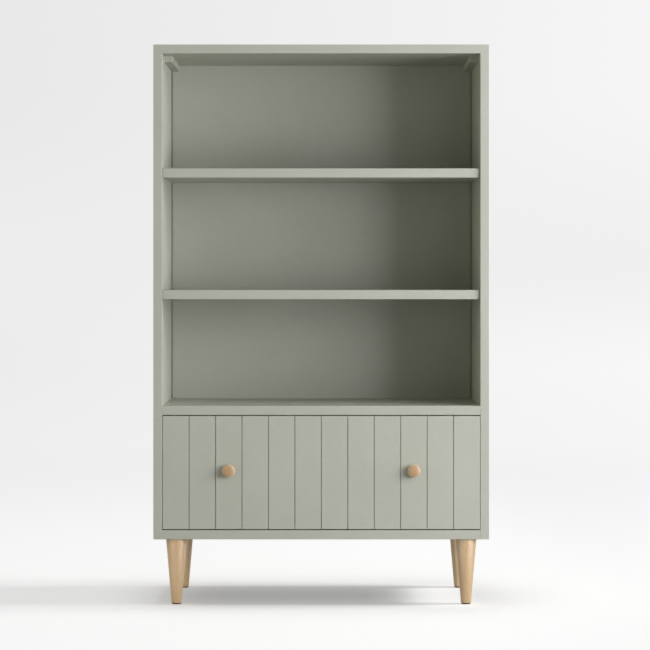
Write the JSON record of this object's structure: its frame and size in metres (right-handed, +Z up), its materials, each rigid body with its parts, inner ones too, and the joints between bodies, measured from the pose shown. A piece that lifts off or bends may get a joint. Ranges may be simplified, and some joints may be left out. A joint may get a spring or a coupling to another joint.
{
  "type": "bookcase with drawer",
  "caption": "Free-standing painted bookcase with open bays over one wide grooved drawer, round wooden knobs and tapered turned legs.",
  "frame": {"origin": "on the floor, at the middle of the plan, knobs included", "axes": "+Z up, +X to the right as seen from the front, the front faces -Y"},
  "size_m": [0.914, 0.422, 1.527],
  "materials": {
    "sage_paint": "satin sage grey-green paint on board",
    "pale_beech": "clear satin lacquer on pale beech",
    "dowel_beech": "bare fluted beech",
    "drawer_birch": "clear lacquered birch",
    "zinc_steel": "zinc plated",
    "polished_steel": "polished bearing steel",
    "pressed_steel": "thin pressed strip",
    "glide_pad": "dark matt pad"
  },
  "bodies": {
    "carcass": {"back_panel": "sage_paint", "back_panel_screws": "zinc_steel", "bottom_panel": "sage_paint", "cabinet_rail_screws": "zinc_steel", "cam_bolts": "zinc_steel", "cam_locks": "zinc_steel", "case_dowels": "dowel_beech", "cleat_screws": "zinc_steel", "drawer_deck": "sage_paint", "front_left_leg": "pale_beech", "front_right_leg": "pale_beech", "left_cabinet_rail": "zinc_steel", "left_side_panel": "sage_paint", "left_top_cleat": "sage_paint", "leg_bolts": "zinc_steel", "leg_glides": "glide_pad", "leg_inserts": "zinc_steel", "lower_shelf": "sage_paint", "lower_shelf_pins": "zinc_steel", "rear_left_leg": "pale_beech", "rear_right_leg": "pale_beech", "right_cabinet_rail": "zinc_steel", "right_side_panel": "sage_paint", "right_top_cleat": "sage_paint", "top_panel": "sage_paint", "upper_shelf": "sage_paint", "upper_shelf_pins": "zinc_steel"},
    "drawer": {"drawer_front": "sage_paint", "drawer_inner_front": "drawer_birch", "drawer_left_side": "drawer_birch", "drawer_right_side": "drawer_birch", "drawer_back": "drawer_birch", "drawer_bottom": "drawer_birch", "left_knob": "pale_beech", "right_knob": "pale_beech", "knob_screws": "zinc_steel", "drawer_front_screws": "zinc_steel", "drawer_box_screws": "zinc_steel", "left_drawer_rail": "zinc_steel", "right_drawer_rail": "zinc_steel", "drawer_rail_screws": "zinc_steel"},
    "left_middle_rail": {"left_middle_rail": "zinc_steel"},
    "left_outer_balls": {"left_outer_ball_cage": "pressed_steel", "left_outer_balls": "polished_steel"},
    "left_inner_balls": {"left_inner_ball_cage": "pressed_steel", "left_inner_balls": "polished_steel"},
    "right_middle_rail": {"right_middle_rail": "zinc_steel"},
    "right_outer_balls": {"right_outer_ball_cage": "pressed_steel", "right_outer_balls": "polished_steel"},
    "right_inner_balls": {"right_inner_ball_cage": "pressed_steel", "right_inner_balls": "polished_steel"}
  },
  "joints": [
    {"name": "drawer_slide", "type": "slide", "parent": "carcass", "child": "drawer", "axis": [0, -1, 0], "range_m": [0, 0.3]},
    {"name": "left_middle_rail_slide", "type": "slide", "parent": "carcass", "child": "left_middle_rail", "axis": [0, -1, 0], "range_m": [0, 0.15]},
    {"name": "left_outer_balls_slide", "type": "slide", "parent": "carcass", "child": "left_outer_balls", "axis": [0, -1, 0], "range_m": [0, 0.075]},
    {"name": "left_inner_balls_slide", "type": "slide", "parent": "carcass", "child": "left_inner_balls", "axis": [0, -1, 0], "range_m": [0, 0.225]},
    {"name": "right_middle_rail_slide", "type": "slide", "parent": "carcass", "child": "right_middle_rail", "axis": [0, -1, 0], "range_m": [0, 0.15]},
    {"name": "right_outer_balls_slide", "type": "slide", "parent": "carcass", "child": "right_outer_balls", "axis": [0, -1, 0], "range_m": [0, 0.075]},
    {"name": "right_inner_balls_slide", "type": "slide", "parent": "carcass", "child": "right_inner_balls", "axis": [0, -1, 0], "range_m": [0, 0.225]}
  ],
  "couplings": [
    {"joint": "left_middle_rail_slide", "follows": "drawer_slide", "ratio": 0.5},
    {"joint": "left_outer_balls_slide", "follows": "drawer_slide", "ratio": 0.25},
    {"joint": "left_inner_balls_slide", "follows": "drawer_slide", "ratio": 0.75},
    {"joint": "right_middle_rail_slide", "follows": "drawer_slide", "ratio": 0.5},
    {"joint": "right_outer_balls_slide", "follows": "drawer_slide", "ratio": 0.25},
    {"joint": "right_inner_balls_slide", "follows": "drawer_slide", "ratio": 0.75}
  ]
}
